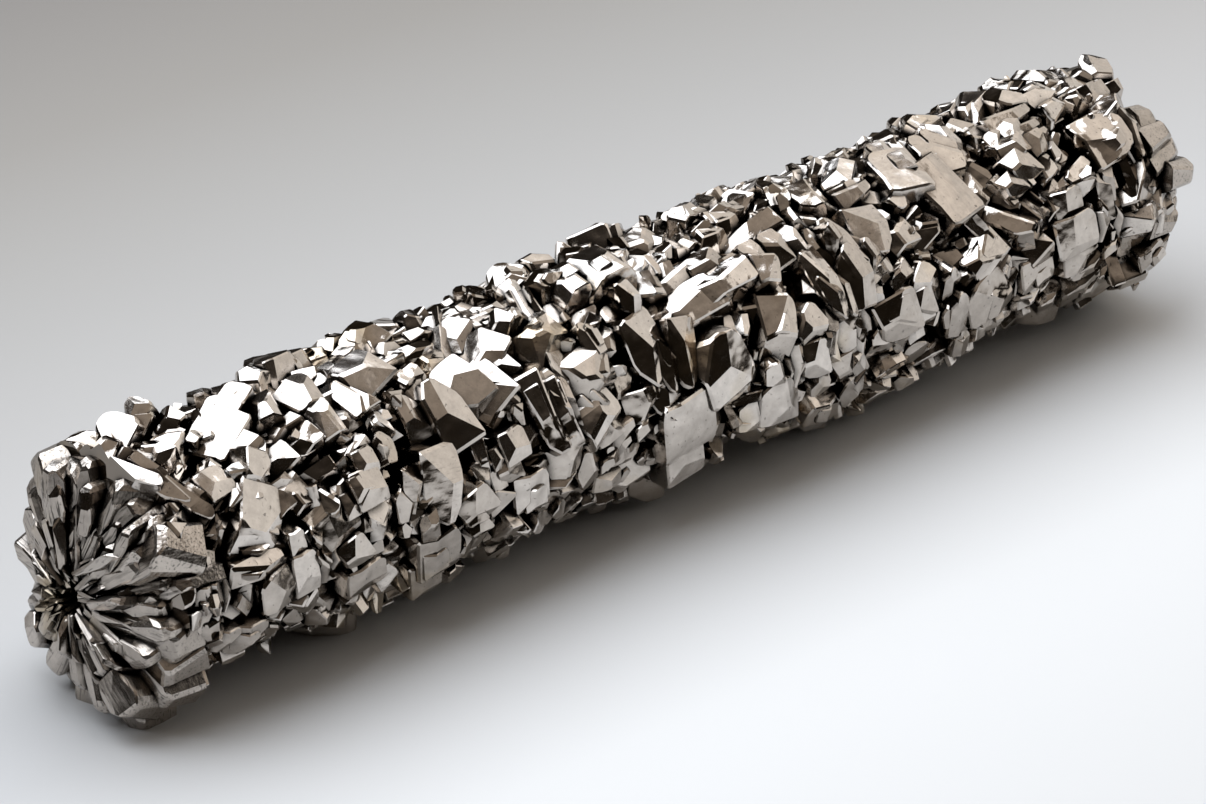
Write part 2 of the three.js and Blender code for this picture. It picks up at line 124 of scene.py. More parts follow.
# along the bar, angle round it, habit, width round, length along, turn, look, lift
listedCrystals = [
    (0, -90, "plate", 7, 9, 12, "down", 0.8),
    (-42, -86, "plate", 6, 7, 40, "down", 0.7),
    (45, -93, "plate", 6, 7.5, -25, "down", 0.5),
    (-61.5, 106, "corner", 4.2, 4.4, 20, "up", 0.5),
    (-58.5, 74, "tip", 5.4, 5.2, 20, "front", -0.5),
    (-64.8, 72, "leaf", 6, 2.4, 202, "out", 0.2),
    (-63.2, 62, "leaf", 6.4, 2.4, 202, "out", 0.4),
    (-61.8, 51, "leaf", 6, 2.4, 202, "out", 0.4),
    (-64.5, 35, "leaf", 3.6, 3, 160, "out", 0.3),
    (-58.5, 53, "plate", 3.4, 3.6, 10, "out", 0.3),
    (-66, 19, "wedge", 4.2, 4.6, 60, "up", 0.3),
    (-62.7, 20, "leaf", 4.4, 3, 170, "up", 0),
    (-63, 0, "slat", 3, 4.8, 90, "out", 0),
    (-54.5, 79, "plate", 4.2, 5.4, 25, "up", 0.2),
    (-54, 66, "plate", 3.4, 4.2, 20, "up", 0.3),
    (-52, 53, "block", 3, 4.4, 5, "up", 0.6),
    (-55, 52, "block", 2.6, 4.2, 0, "out", 0.3),
    (-48.7, 57, "block", 3.2, 4.8, 8, "up", 0.6),
    (-49.5, 42, "slat", 1.8, 6, 2, "up", 0.5),
    (-44.7, 42, "slat", 2, 5.4, 4, "up", 0.6),
    (-52.5, 39, "block", 3.2, 4.6, 10, "up", 0.3),
    (-49, 32, "leaf", 5, 3, 185, "up", 0.4),
    (-44, 26, "plate", 4, 4, 5, "out", 0.7),
    (-56, 27, "wedge", 8, 4.6, 150, "front", -0.4),
    (-57.5, 11, "slat", 2.6, 6.4, 2, "out", 0.2),
    (-55.5, -2, "plate", 4.2, 4.4, 8, "out", 0.5),
    (-52.5, 1, "plate", 4.6, 3.2, 4, "out", 0.4),
    (-48, 15, "plate", 3.4, 5, 20, "out", 0),
    (-44.5, -17, "plate", 3.4, 5, 10, "out", 0.3),
    (-58.5, -23, "plate", 3.8, 4.6, 5, "out", 0.2),
    (-42.5, 53, "tip", 3.8, 4, 10, "front", 0.4),
    (-44.5, 78, "plate", 4, 4.2, 12, "out", 0.5),
    (-44.5, 62, "roof", 3.8, 4.8, 88, "out", 0.3),
    (-40.5, 66, "leaf", 5, 3.2, 5, "out", 0.5),
    (-37.5, 76, "block", 4.4, 4.8, 15, "out", 0.5),
    (-48.5, 80, "roof", 3.4, 4.2, 70, "out", 0.3),
    (-52, 93, "plate", 3.2, 4.2, 30, "up", 0),
    (-42, 112, "corner", 4, 4.6, 10, "out", 0.4),
    (-33, 101, "block", 4.2, 4.6, 18, "up", 0.8),
    (-33.5, 66, "tip", 4, 4.4, 15, "out", 0.4),
    (-32, 43, "leaf", 6.6, 4.2, 8, "out", 0.8),
    (-36, 52, "leaf", 4.2, 3, 170, "front", 0.2),
    (-29.5, 72, "slat", 2.8, 5.4, 60, "up", 0.4),
    (-29, 56, "block", 5.2, 4.6, 10, "up", 1),
    (-26.5, 51, "block", 5, 4.2, 8, "up", 0.9),
    (-24.5, 65, "block", 4, 5.4, 30, "up", 0.8),
    (-24, 32, "leaf", 4.2, 3, 175, "out", 0.3),
    (-21.5, 27, "slat", 3.2, 7.8, 100, "out", 0.6),
    (-17.5, 37, "wedge", 6.2, 2.8, 170, "front", 0),
    (-24.5, -6, "plate", 4.2, 4.4, 6, "out", 0.4),
    (-20, 2, "plate", 4.4, 4.6, 20, "out", 0.5),
    (-20.5, -11, "slat", 2.2, 5.2, 4, "out", 0.3),
    (-31.5, -2, "plate", 4, 4.4, 35, "out", 0.6),
    (-35.5, 14, "leaf", 6.8, 4.4, 175, "out", 0.7),
    (-38, 18, "block", 5.4, 3.6, 160, "up", 0.5),
    (-36, -18, "plate", 5, 4.4, 12, "out", 0.5),
    (-19.5, 78, "block", 3.2, 4.4, 5, "out", 0.2),
    (-17.5, 60, "tip", 4.4, 5, 20, "out", 0.3),
    (-24.5, 85, "plate", 3.4, 4.4, 30, "up", 0.3),
    (-16, 84, "slat", 2.2, 7, 75, "up", 0.1),
    (-6.5, 82, "roof", 5.2, 5, 88, "out", 0.7),
    (-13, 112, "corner", 4, 4.6, 15, "up", 0.5),
    (-1, 80, "leaf", 5.2, 2.4, 180, "up", 0.3),
    (-2.5, 72, "slat", 2.8, 5.2, 80, "up", 0.2),
    (2, 87, "tip", 4.6, 4.8, 15, "front", 0.2),
    (4.5, 64, "block", 3.6, 4.2, 10, "out", 0.4),
    (-1.5, 50, "block", 4, 9, 2, "up", 1.2),
    (-7, 34, "leaf", 7, 4.2, 185, "front", 0.8),
    (-3.5, 28, "leaf", 6.4, 3.4, 170, "out", 0.7),
    (2.5, 30, "corner", 4, 4.8, 30, "up", 0.8),
    (0.7, 16, "corner", 6, 6, 20, "out", 0.8),
    (-14.5, 33, "tip", 5.4, 5.4, 15, "front", 0.4),
    (-15, 17, "roof", 4.6, 5, 30, "front", 0.4),
    (-9, 12, "plate", 3.2, 4.6, 8, "out", 0.2),
    (-5.5, 11, "plate", 4, 5, 12, "out", 0.3),
    (-4, -6, "plate", 6, 6.2, 8, "out", 0.7),
    (-16, -13, "leaf", 4.8, 2.6, 170, "out", 0.2),
    (12, 90, "block", 2.8, 5, 6, "out", 0.3),
    (12, 73, "roof", 3, 6.4, 2, "up", 0.5),
    (9.8, 56, "block", 4.4, 2.6, 2, "out", 0.5),
    (12.6, 57, "block", 4.4, 2.8, 2, "out", 0.6),
    (17.5, 49, "leaf", 5.2, 2.4, 5, "out", 0.3),
    (20, 47, "leaf", 5.8, 3.4, 8, "out", 0.4),
    (20, 31, "leaf", 6.2, 4, 0, "out", 0.6),
    (16, 33, "leaf", 7.2, 2.6, 190, "out", 0.4),
    (25, 49, "leaf", 5.2, 4.4, 175, "out", 0.3),
    (23.5, 31, "block", 3.8, 4.4, 15, "out", 0.2),
    (28.5, 46, "block", 4, 4, 8, "up", 0.4),
    (31.5, 43, "corner", 4, 4.4, 8, "up", 0.5),
    (33.5, 73, "plate", 4.8, 6, 75, "out", 0.6),
    (36.5, 54, "plate", 4.8, 7.2, 100, "out", 0.5),
    (28, 90, "plate", 3.4, 5.2, 40, "up", 0.3),
    (22, 80, "slat", 4.2, 4.6, 81, "out", 0.2),
    (15, 98, "plate", 3.4, 4.2, 20, "up", 0.3),
    (12.5, 18, "corner", 3.8, 4.2, 25, "out", 0.5),
    (15, 12, "roof", 2.8, 5, 70, "out", 0.4),
    (12.5, 2, "plate", 4.4, 3.8, 8, "out", 0.7),
    (18, 8, "plate", 4, 4.2, 35, "out", 0.3),
    (8.3, 22, "wedge", 6.4, 3.6, 165, "out", 0.4),
    (8, -11, "leaf", 4.8, 4.8, 0, "out", 0.5),
    (25, 4, "plate", 4.8, 5, 15, "out", 0.5),
    (18.5, -12, "plate", 4.4, 4, 30, "out", 0.3),
    (19.5, -28, "leaf", 5, 3, 180, "out", 0.6),
    (15.5, -37, "leaf", 4.6, 4, 180, "out", 0.9),
    (29.5, 14, "plate", 3.6, 4.2, 35, "out", 0.4),
    (34, -8, "leaf", 5.8, 3.2, 10, "out", 0.4),
    (39.5, 76, "plate", 4.4, 5.2, 80, "out", 0.3),
    (42.5, 90, "leaf", 5.2, 3.4, 0, "out", 0.3),
    (47.5, 62, "block", 3.6, 4, 5, "out", 0.2),
    (50, 77, "slat", 2.6, 7, 5, "out", 0.4),
    (47, 50, "plate", 4, 3.8, 15, "out", 0.3),
    (41.5, 36, "slat", 2.8, 8.4, 122, "up", 0.5),
    (45, 36, "slat", 2.6, 6.4, 118, "up", 0.4),
    (49, 33, "corner", 3.6, 4, 10, "up", 0.2),
    (39, 26, "slat", 2.4, 6.4, 124, "out", 0.3),
    (45, 17, "leaf", 5, 3.4, 10, "up", 0.4),
    (38, 16, "roof", 4.4, 5, 30, "out", 0.4),
    (51.5, 8, "plate", 4.6, 6, 5, "out", 0.5),
    (52.5, -6, "plate", 3.8, 5.2, 12, "out", 0.3),
    (56.5, 24, "slat", 3, 7, 93, "out", 0.2),
    (60.5, 24, "slat", 2.2, 7, 93, "out", 0.3),
    (58.5, 47, "block", 6.2, 6.2, 185, "out", 1),
    (62.5, 45, "slat", 2, 6.2, 95, "out", 1),
    (63.5, -22, "plate", 3.6, 3.8, 30, "out", 0.2),
    (60.5, 100, "slat", 4, 6, 88, "out", 0.2),
    (57, 114, "corner", 4.6, 5, 20, "out", 0),
    (55.5, 83, "block", 3.6, 4.2, 15, "out", 0.4),
    (49.5, 100, "roof", 4.6, 5.2, 30, "up", 0.5),
    (43, 105, "corner", 4.4, 4.6, 10, "out", 0.5),
    (37.5, -4, "plate", 4.6, 5.2, 20, "out", 0.5),
]

# smaller crystals between those, in the same columns
smallerCrystals = [
    (-65, 92, "block", 3, 3, 20, "out", 0.2),
    (-61, 78, "plate", 2.2, 2.4, 20, "up", 0.2),
    (-62, 1, "slat", 1.8, 4.6, 92, "out", 0.1),
    (-67, -22, "plate", 3.4, 3.6, 15, "out", 0.2),
    (-63, -15, "block", 4.2, 2, 8, "out", 0),
    (-57, 98, "block", 3, 3.4, 15, "up", 0.2),
    (-57, 43, "slat", 2.2, 3, 60, "out", 0),
    (-51.5, 37, "block", 3.2, 3, 10, "up", 0.3),
    (-47, 33, "corner", 3.4, 4.2, 10, "up", 0.2),
    (-50, 1, "slat", 2.2, 4.6, 100, "out", 0.3),
    (-46.5, 1, "plate", 3.4, 3.4, 30, "out", 0.6),
    (-43, 9, "block", 3.8, 3, 5, "out", 0.2),
    (-52.5, -14, "block", 3.4, 3.6, 12, "out", 0.2),
    (-43, 43, "wedge", 3.4, 3.4, 20, "front", 0.2),
    (-39.5, 50, "leaf", 3.2, 2.4, 0, "out", 0.3),
    (-40.5, 39, "leaf", 3.4, 2.4, 0, "out", 0.4),
    (-48.5, 66, "slat", 2.4, 4, 10, "up", 0),
    (-44.5, 110, "corner", 3.6, 3.8, 20, "out", 0.4),
    (-33.7, 53, "roof", 3.4, 4.4, 80, "front", 0.6),
    (-19.3, 28, "slat", 1.8, 7.2, 100, "out", 0.4),
    (-26, 18, "plate", 3.6, 3.6, 8, "out", 0.4),
    (-29.5, 18, "slat", 2, 4.2, 98, "out", 0),
    (-30, 7, "slat", 2.2, 4.2, 100, "out", 0),
    (-27, 8, "plate", 3, 3.2, 12, "out", 0.1),
    (-39.5, 12, "plate", 3.6, 2.8, 5, "out", 0.2),
    (-38.3, 5, "plate", 4.2, 2.8, 160, "out", 0.2),
    (-13, 50, "leaf", 4, 2.4, 10, "out", 0.3),
    (-26.7, 81, "slat", 1.8, 5.4, 60, "up", 0.2),
    (-11.7, 90, "plate", 3.2, 3.8, 20, "out", 0.3),
    (-18, 105, "block", 3.6, 4, 25, "out", 0.2),
    (1.5, 75, "wedge", 3, 3, 20, "front", 0),
    (6.5, 56, "block", 3, 2.8, 5, "out", 0.4),
    (-5.8, 27, "leaf", 6.4, 2.4, 175, "out", 0.9),
    (4.5, 35, "leaf", 4.4, 2.4, 160, "up", 0.6),
    (-14.5, 10, "leaf", 4, 3.6, 20, "out", 0.5),
    (-9, -3, "block", 3, 3, 10, "out", 0.1),
    (-12, 0, "block", 2.8, 3.2, 10, "out", 0),
    (-13.5, -13, "block", 2.8, 3.2, 6, "out", 0.2),
    (1.5, 2, "plate", 3, 3.4, 40, "out", 0.4),
    (4.5, -6, "slat", 1.6, 5.2, 3, "out", 0.2),
    (8, -18, "slat", 1.6, 5.4, 3, "out", 0.3),
    (9, 100, "block", 2.8, 3.6, 10, "out", 0.2),
    (15, 57, "block", 4.2, 2.2, 2, "out", 0.5),
    (24, 26, "block", 3, 4, 5, "out", 0.2),
    (30, 30, "tip", 3.2, 3.4, 15, "up", 0.1),
    (31.5, 62, "wedge", 3.4, 4.2, 20, "out", 0.2),
    (27, 73, "slat", 2.4, 5.2, 10, "out", 0.1),
    (19.5, 92, "plate", 2.6, 4.4, 70, "out", 0.2),
    (12, 106, "wedge", 3.2, 3.4, 30, "out", 0.3),
    (10.5, 2, "slat", 1.8, 5, 92, "out", 0.3),
    (7.5, 34, "wedge", 4.2, 3.2, 20, "front", 0),
    (23, 17, "slat", 2.2, 5, 98, "out", 0.1),
    (28.5, 0, "plate", 3.2, 3.8, 10, "out", 0.4),
    (23.5, -6, "leaf", 4, 4.2, 0, "out", 0.3),
    (14, -13, "corner", 2.8, 3.2, 15, "out", 0.2),
    (26.5, 20, "block", 3.2, 4, 20, "out", 0.3),
    (37.5, 92, "slat", 2.6, 5, 88, "out", 0.3),
    (50.5, 58, "block", 3, 2.6, 5, "out", 0.1),
    (49, 70, "block", 2.6, 3.2, 5, "out", 0.2),
    (46.5, 73, "block", 3, 3.2, 10, "front", 0.1),
    (52, 66, "block", 2.2, 4, 5, "front", 0),
    (49.5, 48, "corner", 3.2, 3.2, 10, "up", 0.1),
    (54, 33, "block", 3.6, 4, 20, "out", 0.1),
    (56, 14, "slat", 1.8, 4.6, 95, "out", 0.1),
    (58, 8, "slat", 1.8, 5, 95, "out", 0.1),
    (55.5, 6, "plate", 3.6, 2.4, 5, "out", 0),
    (61.5, 72, "slat", 2.6, 5.4, 8, "out", 0.6),
    (52.5, 90, "plate", 3.6, 4.6, 80, "out", 0.4),
    (38.5, 107, "corner", 4, 4.4, 20, "out", 0.4),
    (41, -3, "corner", 3.2, 3, 10, "out", 0.3),
    (40, 6, "block", 3.2, 3.4, 15, "out", 0.1),
    (46, -5, "plate", 4, 5, 10, "out", 0),
    (57, -9, "block", 2.6, 3.2, 5, "out", 0.1),
    (59, 70, "tip", 3.4, 3.6, 10, "out", 0.4),
]

# and on the rims of the broken ends
rimCrystals = [
    (64, 20, "plate", 5.6, 7, 60, "far", 0.8),
    (64.5, 38, "plate", 5, 6, 30, "far", 0.8),
    (65.5, 4, "corner", 4.6, 5, 15, "far", 0.5),
    (63, 60, "corner", 4, 4.4, 20, "far", -0.2),
    (66.5, 90, "leaf", 5, 3.4, -30, "out", 0.6),
]


def seededNumbers(seed):
    state = seed
    while True:
        state = state * 48271 % 2147483647
        yield state / 2147483647


def deselectAll():
    if bpy.context.mode != "OBJECT":
        bpy.ops.object.mode_set(mode="OBJECT")
    bpy.ops.object.select_all(action="DESELECT")


def cutAway(x, y, z, reach):
    direction = Vector((x, y, z)).normalized()
    bpy.ops.mesh.select_all(action="SELECT")
    bpy.ops.mesh.bisect(
        plane_co=direction * reach, plane_no=direction, use_fill=True, clear_outer=True
    )


def between(numbers, limits):
    return limits[0] + (limits[1] - limits[0]) * next(numbers)


# to either side of nothing, over this width
def spread(numbers, width):
    return (next(numbers) - 0.5) * width


def spreadVector(numbers):
    return Vector([spread(numbers, 1) for _ in range(3)])


# takes the chosen edges off with a flat cut each
def dull(mesh, wanted, depth, numbers):
    bpy.ops.mesh.select_all(action="SELECT")
    bpy.ops.mesh.normals_make_consistent(inside=False)
    cuts = []
    for edge in bmesh.from_edit_mesh(mesh).edges:
        if len(edge.link_faces) == 2 and wanted(edge):
            direction = (edge.link_faces[0].normal + edge.link_faces[1].normal).normalized()
            middle = (edge.verts[0].co + edge.verts[1].co) / 2
            cuts.append((*direction, middle.dot(direction)))
    for x, y, z, reach in cuts:
        cutAway(x, y, z, reach - depth * between(numbers, rounding["depth"]))


# sharp edges between two sides, and round a top face; angles in radians
def isUpright(edge):
    sharp = edge.calc_face_angle() > 0.6
    return sharp and all(abs(face.normal.z) < 0.5 for face in edge.link_faces)


def isTop(edge):
    sharp = edge.calc_face_angle() > 0.5
    return sharp and any(face.normal.z > 0.3 for face in edge.link_faces)


# one crystal of a habit, which the others of its kind are copied from
def modelCrystal(name, cuts, numbers, large):
    deselectAll()
    bpy.ops.mesh.primitive_cube_add(size=2, scale=rounding["start"])
    bpy.ops.object.transform_apply(location=False, rotation=False, scale=True)
    crystal = bpy.context.object
    crystal.name = "model_" + name
    bpy.ops.object.mode_set(mode="EDIT")
    for x, y in ((1, 0), (-1, 0), (0, 1), (0, -1)):
        cutAway(x, y, rounding["drawIn"], 1)
    for cut in cuts:
        cutAway(*cut)
    for _ in range(rounding["corners"]):
        angle = 2 * math.pi * next(numbers)
        lean = rounding["cornerLean"] * next(numbers)
        cutAway(math.cos(angle), math.sin(angle), lean, between(numbers, rounding["cornerReach"]))
    turned = 2 * math.pi * next(numbers)
    for i in range(rounding["crowns"] if large else 1):
        tilt = between(numbers, rounding["crownTilt"])
        angle = turned + 2 * math.pi * (i + rounding["crownDrift"] * next(numbers)) / rounding["crowns"]
        reach = between(numbers, rounding["crownReach"])
        cutAway(tilt * math.cos(angle), tilt * math.sin(angle), 1, reach)
    if large:
        dull(crystal.data, isUpright, rounding["outline"], numbers)
    dull(crystal.data, isTop, rounding["top"], numbers)
    bpy.ops.mesh.select_all(action="SELECT")
    bpy.ops.mesh.remove_doubles(threshold=rounding["merge"])
    bpy.ops.mesh.normals_make_consistent(inside=False)
    bpy.ops.object.mode_set(mode="OBJECT")
    crystal.data.attributes.new("lattice", "FLOAT_VECTOR", "CORNER")
    crystal.data.attributes.new("grain", "FLOAT_VECTOR", "FACE")
    return crystal


modelNumbers = seededNumbers(rounding["seed"])
models = {}
for habit, cuts in habits.items():
    for variant in range(rounding["variants"]):
        models[habit, "large", variant] = modelCrystal(habit, cuts, modelNumbers, True)
        models[habit, "small", variant] = modelCrystal(habit + "_small", cuts, modelNumbers, False)
modelCorners = {}  # where the corners of a model's faces are
for kind, model in models.items():
    points = np.zeros(len(model.data.vertices) * 3)
    model.data.vertices.foreach_get("co", points)
    corners = np.zeros(len(model.data.loops), dtype=np.int32)
    model.data.loops.foreach_get("vertex_index", corners)
    modelCorners[kind] = points.reshape(-1, 3)[corners]
modelFaces = sum(len(model.data.polygons) for model in models.values())
print("crystal models made:", len(models), "with", modelFaces, "faces")


def outwards(angle):
    return Vector((0, -math.cos(math.radians(angle)), math.sin(math.radians(angle))))


# x runs up round the bar and y along it, until the crystal is spun about its z
def crystalTurn(grown, spin):
    along = Vector((-1, 0, 0)) + grown * grown.x
    along.normalize()
    around = along.cross(grown)
    turn = Matrix((around, along, grown)).transposed()
    return (turn @ Matrix.Rotation(math.radians(spin), 3, "Z")).to_4x4()


# where the outline stands out or falls back, in mm along the bar and degrees round it
outline = {
    "longWave": (0.35, 9),  # height and reach
    "shortWave": (0.3, 5),
    "farEnd": (0.3, 59, 16),  # height, place along the bar and reach
    "back": (120, 32),  # angle round the bar and reach
    "backEnds": (32, 5),  # place along the bar and how gently
    "hills": [  # place along the bar, angle round it and height
        (-32, 122, 0.6),
        (6, 122, 0.8),
        (22, -52, 0.9),
        (34, -52, 0.6),
        (49, 122, 1),
        (51, -50, -1.5),
    ],
    "hillReach": (6, 26),
}


# the shorter way round from one angle to another, in degrees
def turnBetween(angle, other):
    return (angle - other + 180) % 360 - 180


# 1 in the middle, falling to nothing past the reach
def bell(distance, reach):
    return math.exp(-((distance / reach) ** 2))


def swell(station, angle):
    height, reach = outline["longWave"]
    total = height * math.sin(station / reach + math.radians(angle))
    height, reach = outline["shortWave"]
    total += height * math.sin(station / reach - math.radians(2 * angle))
    height, at, reach = outline["farEnd"]
    total += height * bell(station - at, reach)
    turn, reach = outline["back"]
    at, gently = outline["backEnds"]
    total += bell(turnBetween(angle, turn), reach) / (1 + math.exp((station - at) / gently))
    along, around = outline["hillReach"]
    for at, turn, height in outline["hills"]:
        total += height * bell(station - at, along) * bell(turnBetween(angle, turn), around)
    return total


def apart(a, b):
    return math.hypot(a[0] - b[0], math.radians(turnBetween(a[1], b[1])) * bar["radius"])


# the place of a crystal's middle, in mm, and its turn
def crystalPlace(station, angle, width, length, height, grown, spin, lift):
    out = outwards(angle)
    raised = grown.cross(out).length * math.hypot(width, length) * bar["edgeShare"]
    middle = out * (bar["radius"] + swell(station, angle) + lift - raised) - grown * height / 2
    middle += Vector((station, 0, bar["axisHeight"]))
    return Matrix.Translation(middle) @ crystalTurn(grown, spin)


def newCollection(name):
    collection = bpy.data.collections.new(name)
    bpy.context.scene.collection.children.link(collection)
    return collection


# how crystals differ in tint, dullness and growth lines
grain = {
    "tint": (0.3, 1),
    "dullness": (0, 0.55),
    "lines": (0, 0.6),
    "shift": 40,  # mm that the finish is moved by from crystal to crystal
    "seed": 4127,
}
toneNumbers = seededNumbers(grain["seed"])


def newTone(numbers):
    return [between(numbers, grain[part]) for part in ("tint", "dullness", "lines")]


# a copy of a habit's model at its size and place, with its own axes kept for the finish
def growCrystal(collection, habit, place, size, tone, grade="large"):
    kind = (habit, grade, int(tone[0] * rounding["variantMix"]) % rounding["variants"])
    mesh = models[kind].data.copy()
    half = Vector(size) / 2
    mesh.transform(toMetres @ place @ Matrix.Diagonal((*half, 1)))
    lattice = modelCorners[kind] * half
    if habit == "blade":
        lattice = lattice[:, [1, 0, 2]]  # a blade is longest along its x
    lattice = lattice + np.array(tone) * grain["shift"]
    mesh.attributes["lattice"].data.foreach_set("vector", lattice.ravel())
    mesh.attributes["grain"].data.foreach_set("vector", np.tile(tone, len(mesh.polygons)))
    crystal = bpy.data.objects.new("crystal", mesh)
    collection.objects.link(crystal)


# steps on top of a crystal and beside it, on the same axes: how often, share of its size, and place
steps = {
    "terrace": 0.4,
    "terraceShare": (0.4, 0.7),
    "terraceAside": 0.4,
    "terraceRise": (0.12, 0.37),
    "beside": (0.6, 0.4),  # how often there is a first and a second one
    "besideShare": (0.45, 0.8),
    "besideReach": (0.5, 0.75),
    "besideDrop": (-0.15, -0.95),
    "besideDrift": 0.5,
    "seed": 6211,
}
stepNumbers = seededNumbers(steps["seed"])


def growSteps(collection, habit, place, size, tone):
    width, length, height = size
    numbers = stepNumbers

    def growStep(aside, share):
        stepSize = (width * share, length * share, height)
        growCrystal(collection, habit, place @ Matrix.Translation(aside), stepSize, tone)

    if next(numbers) < steps["terrace"]:
        share = between(numbers, steps["terraceShare"])
        acrossAside = spread(numbers, width * steps["terraceAside"])
        alongAside = spread(numbers, length * steps["terraceAside"])
        growStep((acrossAside, alongAside, between(numbers, steps["terraceRise"])), share)
    for chance in steps["beside"]:
        side = next(numbers)  # which of the four sides
        reach = between(numbers, steps["besideReach"])
        share = between(numbers, steps["besideShare"])
        drop = between(numbers, steps["besideDrop"])
        drift = spread(numbers, steps["besideDrift"])
        if next(numbers) > chance:
            continue
        sign = 1 if side % 0.5 < 0.25 else -1
        aside = (sign * reach * width, drift * length, drop)
        if side > 0.5:
            aside = (drift * width, sign * reach * length, drop)
        growStep(aside, share)


# listed crystals with more than this width and length together stand out from the rest
boulders = {"from": 9, "before": 45, "grow": 1.16, "lift": 0.35}
sideCrystals = newCollection("side crystals")
endBlades = newCollection("end blades")
grownAt = []  # place, turn and habit of every large crystal, for the small ones between them


def growListed(collection, row):
    station, angle, habit, width, length, spin, look, lift = row
    grown = outwards(angle)
    if look in looks:
        grown = grown.lerp(Vector(looks[look]), bar["faceTurn"]).normalized()
    if width + length > boulders["from"] and station < boulders["before"]:
        width, length = width * boulders["grow"], length * boulders["grow"]
        lift += boulders["lift"]
    size = (width, length, bar["crystalHeight"])
    place = crystalPlace(station, angle, *size, grown, spin, lift)
    tone = newTone(toneNumbers)
    growCrystal(collection, habit, place, size, tone)
    growSteps(collection, habit, place, size, tone)
    grownAt.append(((station, angle), grown, spin, habit))


for row in listedCrystals + smallerCrystals:
    growListed(sideCrystals, row)
for row in rimCrystals:
    growListed(endBlades, row)

# dark valleys that no other crystal fills: along the bar, angle round it, reach
valleys = [
    (-57, 29, 2.4),
    (-15, 20, 2.2),
    (-36, 47, 2),
    (-58, 74, 1.8),
    (44.5, 61, 1.8),
    (9, 32, 1.8),
    (-28, 30, 1.7),
    (0, 9, 1.6),
    (53.5, 39, 1.5),
    (-9, 29, 1.4),
    (2.5, 60, 1.4),
    (20, 5, 1.3),
    (9.5, 80, 1.3),
    (-64.5, 36, 1.2),
    (60, -7, 1.2),
    (35, 15, 1.1),
    (67.5, 60, 4.5),  # notches in the far rim
    (67.5, -34, 3.6),
]


def inValley(at):
    return any(apart(row[:2], at) < row[2] for row in valleys)


def isTaken(at, rows, share):
    return inValley(at) or any(apart(row[:2], at) < (row[3] + row[4]) * share for row in rows)


# places in a spiral along the bar, each a little off
def spiralPlace(i, group, numbers):
    station = ((i + 0.5) / group["count"] - 0.5) * group["length"] + spread(numbers, group["drift"])
    angle = i * bar["goldenAngle"] + spread(numbers, group["wander"])
    return station, angle


def anyHabit(numbers):
    return habitOrder[int(next(numbers) * len(habitOrder))]


# groups of parallel crystals on the rest of the bar
groups = {
    "count": 56,
    "length": bar["length"],
    "drift": 8,  # mm along the bar
    "wander": 40,  # degrees round it
    "lean": 0.5,
    "width": (5.6, 7.8),
    "longer": (1, 1.4),
    "seed": 1873,
}


def makeGroups():
    numbers = seededNumbers(groups["seed"])
    made = []
    for i in range(groups["count"]):
        at = spiralPlace(i, groups, numbers)
        lean = spreadVector(numbers)
        width = between(numbers, groups["width"])
        habit = anyHabit(numbers)
        length = width * between(numbers, groups["longer"])
        grown = (outwards(at[1]) + lean * groups["lean"]).normalized()
        made.append((at, habit, width, length, grown, 180 * next(numbers)))
    return made


crystalGroups = makeGroups()


def nearestGroup(at):
    return min(crystalGroups, key=lambda group: apart(group[0], at))


fill = {
    "count": 166,
    "length": bar["length"],
    "drift": 3,
    "wander": 16,
    "share": (0.6, 0.95),
    "lift": (-0.8, 0.3),
    "clearShare": 0.42,  # how far they keep from a listed crystal, as a share of its size
    "outwards": 0.8,
    "widest": 5.6,
    "seed": 5417,
}
numbers = seededNumbers(fill["seed"])
placed = listedCrystals + rimCrystals
for i in range(fill["count"]):
    at = station, angle = spiralPlace(i, fill, numbers)
    share = between(numbers, fill["share"])
    lift = between(numbers, fill["lift"])
    if isTaken(at, placed, fill["clearShare"]):
        continue
    _, habit, width, length, grown, spin = nearestGroup(at)
    grown = (grown + fill["outwards"] * outwards(angle)).normalized()
    width, length = min(width * share, fill["widest"]), min(length * share, fill["widest"])
    size = (width, length, bar["crystalHeight"])
    place = crystalPlace(station, angle, *size, grown, spin, lift)
    tone = newTone(toneNumbers)
    growCrystal(sideCrystals, habit, place, size, tone)
    growSteps(sideCrystals, habit, place, size, tone)
    growSteps(sideCrystals, habit, place, size, tone)
    grownAt.append((at, grown, spin, habit))

# middling crystals where none of those stands, so that the bar is covered all round
middling = {
    "count": 620,
    "length": bar["length"],
    "drift": 3,
    "wander": 16,
    "width": (2.6, 4.6),
    "longer": (1, 1.4),
    "height": 6,
    "lift": (-1.3, -0.1),
    "lean": 1.1,
    "clearShare": 0.27,
    "seed": 9161,
}
numbers = seededNumbers(middling["seed"])
placed = listedCrystals + smallerCrystals + rimCrystals
for i in range(middling["count"]):
    at = station, angle = spiralPlace(i, middling, numbers)
    width = between(numbers, middling["width"])
    length = width * between(numbers, middling["longer"])
    lift = between(numbers, middling["lift"])
    lean = spreadVector(numbers)
    if isTaken(at, placed, middling["clearShare"]):
        continue
    _, habit, _, _, grown, spin = nearestGroup(at)
    grown = (grown + outwards(angle) + lean * middling["lean"]).normalized()
    size = (width, length, middling["height"])
    place = crystalPlace(station, angle, *size, grown, spin, lift)
    tone = newTone(toneNumbers)
    growCrystal(sideCrystals, habit, place, size, tone)
    grownAt.append((at, grown, spin, habit))

